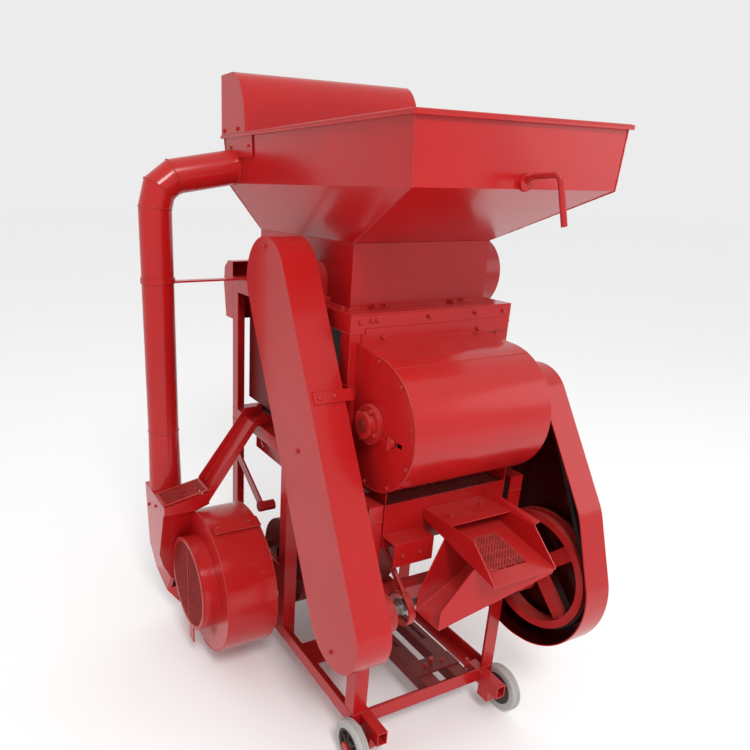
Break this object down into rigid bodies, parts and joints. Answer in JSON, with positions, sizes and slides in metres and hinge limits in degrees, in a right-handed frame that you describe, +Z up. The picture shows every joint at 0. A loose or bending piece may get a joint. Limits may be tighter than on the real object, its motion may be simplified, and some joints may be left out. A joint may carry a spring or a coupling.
{
  "type": "peanut sheller",
  "caption": "Wheeled peanut sheller with a hopper, shelling drum, winnowing blower, shaken deck, belt drives and a lift fan that blows unshelled nuts back up a pipe.",
  "frame": {"origin": "bottom centre of the bounding box, on the floor under the machine", "axes": "+Z up, +X to the right seen from the chute end, +Y to the back, where the hood and the lift duct are"},
  "size_m": [0.8678, 1.1284, 1.6829],
  "materials": {
    "red_enamel": "glossy red enamel over sheet steel and angle iron",
    "shaded_red": "thin red paint on inner pieces",
    "red_casting": "red paint over rough castings",
    "bare_steel": "turned steel",
    "dark_steel": "worn dark steel",
    "belt_rubber": "black rubber",
    "grey_tyre": "light grey moulded tyre"
  },
  "bodies": {
    "machine": {"stand": "red_enamel", "motor_rails": "shaded_red", "upper_frame": "red_enamel", "neck": "red_enamel", "drum_casing": "shaded_red", "concave_grid": "dark_steel", "left_belt_guard": "red_enamel", "drum_bearing_left": "red_casting", "drum_bearing_right": "red_casting", "drum_end_cover": "red_enamel", "left_belt": "belt_rubber", "right_belt": "belt_rubber", "right_belt_guard": "red_enamel", "jack_bearing_left": "red_casting", "jack_bearing_right": "red_casting", "blower_housing": "red_enamel", "blower_inlet_spider": "red_enamel", "blower_bearing_left": "red_casting", "blower_bearing_right": "red_casting", "lift_fan_housing": "red_enamel", "fan_grille": "shaded_red", "under_deck_fan_housing": "shaded_red", "fan_bearing_left": "red_casting", "fan_bearing_right": "red_casting", "lift_duct": "red_enamel", "inlet_mesh": "shaded_red", "hopper": "red_enamel", "lift_pipe": "red_enamel", "hood": "red_enamel", "return_chute": "red_enamel", "rear_cover": "red_enamel"},
    "drum": {"shelling_drum": "dark_steel", "drum_pulley": "red_casting"},
    "jack": {"jackshaft": "bare_steel", "jack_pulley_left": "red_casting", "big_pulley": "red_casting"},
    "blower": {"blower_rotor": "shaded_red", "blower_pulley": "red_casting"},
    "lift_fan": {"fan_rotor": "shaded_red"},
    "deck": {"deck_tray": "red_enamel", "deck_screen": "dark_steel", "kernel_chute": "red_enamel", "fines_spout": "red_enamel", "deck_rod_left": "red_casting", "deck_rod_right": "red_casting"},
    "gate": {"feed_gate": "red_casting"},
    "damper": {"air_damper": "red_casting"},
    "hanger_front_left": {"hanger_front_left": "red_casting"},
    "hanger_rear_left": {"hanger_rear_left": "red_casting"},
    "wheel_front_left": {"tyre_front_left": "grey_tyre", "hub_front_left": "red_casting"},
    "wheel_rear_left": {"tyre_rear_left": "grey_tyre", "hub_rear_left": "red_casting"},
    "hanger_front_right": {"hanger_front_right": "red_casting"},
    "hanger_rear_right": {"hanger_rear_right": "red_casting"},
    "wheel_front_right": {"tyre_front_right": "grey_tyre", "hub_front_right": "red_casting"},
    "wheel_rear_right": {"tyre_rear_right": "grey_tyre", "hub_rear_right": "red_casting"}
  },
  "joints": [
    {"name": "drum_spin", "type": "hinge", "parent": "machine", "child": "drum", "pos_m": [0.10788, 0.00781, 1.1883], "axis": [1, 0, 0], "continuous": true},
    {"name": "jackshaft_spin", "type": "hinge", "parent": "machine", "child": "jack", "pos_m": [0.10788, -0.37619, 0.465], "axis": [1, 0, 0], "continuous": true},
    {"name": "blower_spin", "type": "hinge", "parent": "machine", "child": "blower", "pos_m": [0.10788, -0.28319, 0.907], "axis": [1, 0, 0], "continuous": true},
    {"name": "lift_fan_spin", "type": "hinge", "parent": "machine", "child": "lift_fan", "pos_m": [0.10788, 0.20481, 0.272], "axis": [1, 0, 0], "continuous": true},
    {"name": "deck_swing", "type": "slide", "parent": "machine", "child": "deck", "axis": [0, 1, 0], "range_m": [-0.005, 0.005]},
    {"name": "gate_slide", "type": "slide", "parent": "machine", "child": "gate", "axis": [0, -0.9165, 0.3999], "range_m": [0, 0.06]},
    {"name": "damper_slide", "type": "slide", "parent": "machine", "child": "damper", "axis": [0, 1, 0], "range_m": [-0.022, 0.022]},
    {"name": "hanger_front_left_swing", "type": "hinge", "parent": "machine", "child": "hanger_front_left", "pos_m": [-0.08812, -0.24319, 0.69888], "axis": [1, 0, 0], "range_deg": [-4.8, 4.8]},
    {"name": "hanger_rear_left_swing", "type": "hinge", "parent": "machine", "child": "hanger_rear_left", "pos_m": [-0.08812, 0.31481, 0.69888], "axis": [1, 0, 0], "range_deg": [-4.8, 4.8]},
    {"name": "wheel_front_left_spin", "type": "hinge", "parent": "machine", "child": "wheel_front_left", "pos_m": [-0.14212, -0.35519, 0.065], "axis": [1, 0, 0], "continuous": true},
    {"name": "wheel_rear_left_spin", "type": "hinge", "parent": "machine", "child": "wheel_rear_left", "pos_m": [-0.14212, 0.50081, 0.065], "axis": [1, 0, 0], "continuous": true},
    {"name": "hanger_front_right_swing", "type": "hinge", "parent": "machine", "child": "hanger_front_right", "pos_m": [0.30388, -0.24319, 0.69888], "axis": [1, 0, 0], "range_deg": [-4.8, 4.8]},
    {"name": "hanger_rear_right_swing", "type": "hinge", "parent": "machine", "child": "hanger_rear_right", "pos_m": [0.30388, 0.31481, 0.69888], "axis": [1, 0, 0], "range_deg": [-4.8, 4.8]},
    {"name": "wheel_front_right_spin", "type": "hinge", "parent": "machine", "child": "wheel_front_right", "pos_m": [0.35788, -0.35519, 0.065], "axis": [1, 0, 0], "continuous": true},
    {"name": "wheel_rear_right_spin", "type": "hinge", "parent": "machine", "child": "wheel_rear_right", "pos_m": [0.35788, 0.50081, 0.065], "axis": [1, 0, 0], "continuous": true}
  ],
  "couplings": [
    {"joint": "jackshaft_spin", "follows": "drum_spin", "ratio": 1.2995},
    {"joint": "blower_spin", "follows": "drum_spin", "ratio": 4.4003},
    {"joint": "hanger_front_left_swing", "follows": "deck_swing", "rad_per_m": 16.667},
    {"joint": "hanger_rear_left_swing", "follows": "deck_swing", "rad_per_m": 16.667},
    {"joint": "hanger_front_right_swing", "follows": "deck_swing", "rad_per_m": 16.667},
    {"joint": "hanger_rear_right_swing", "follows": "deck_swing", "rad_per_m": 16.667}
  ]
}
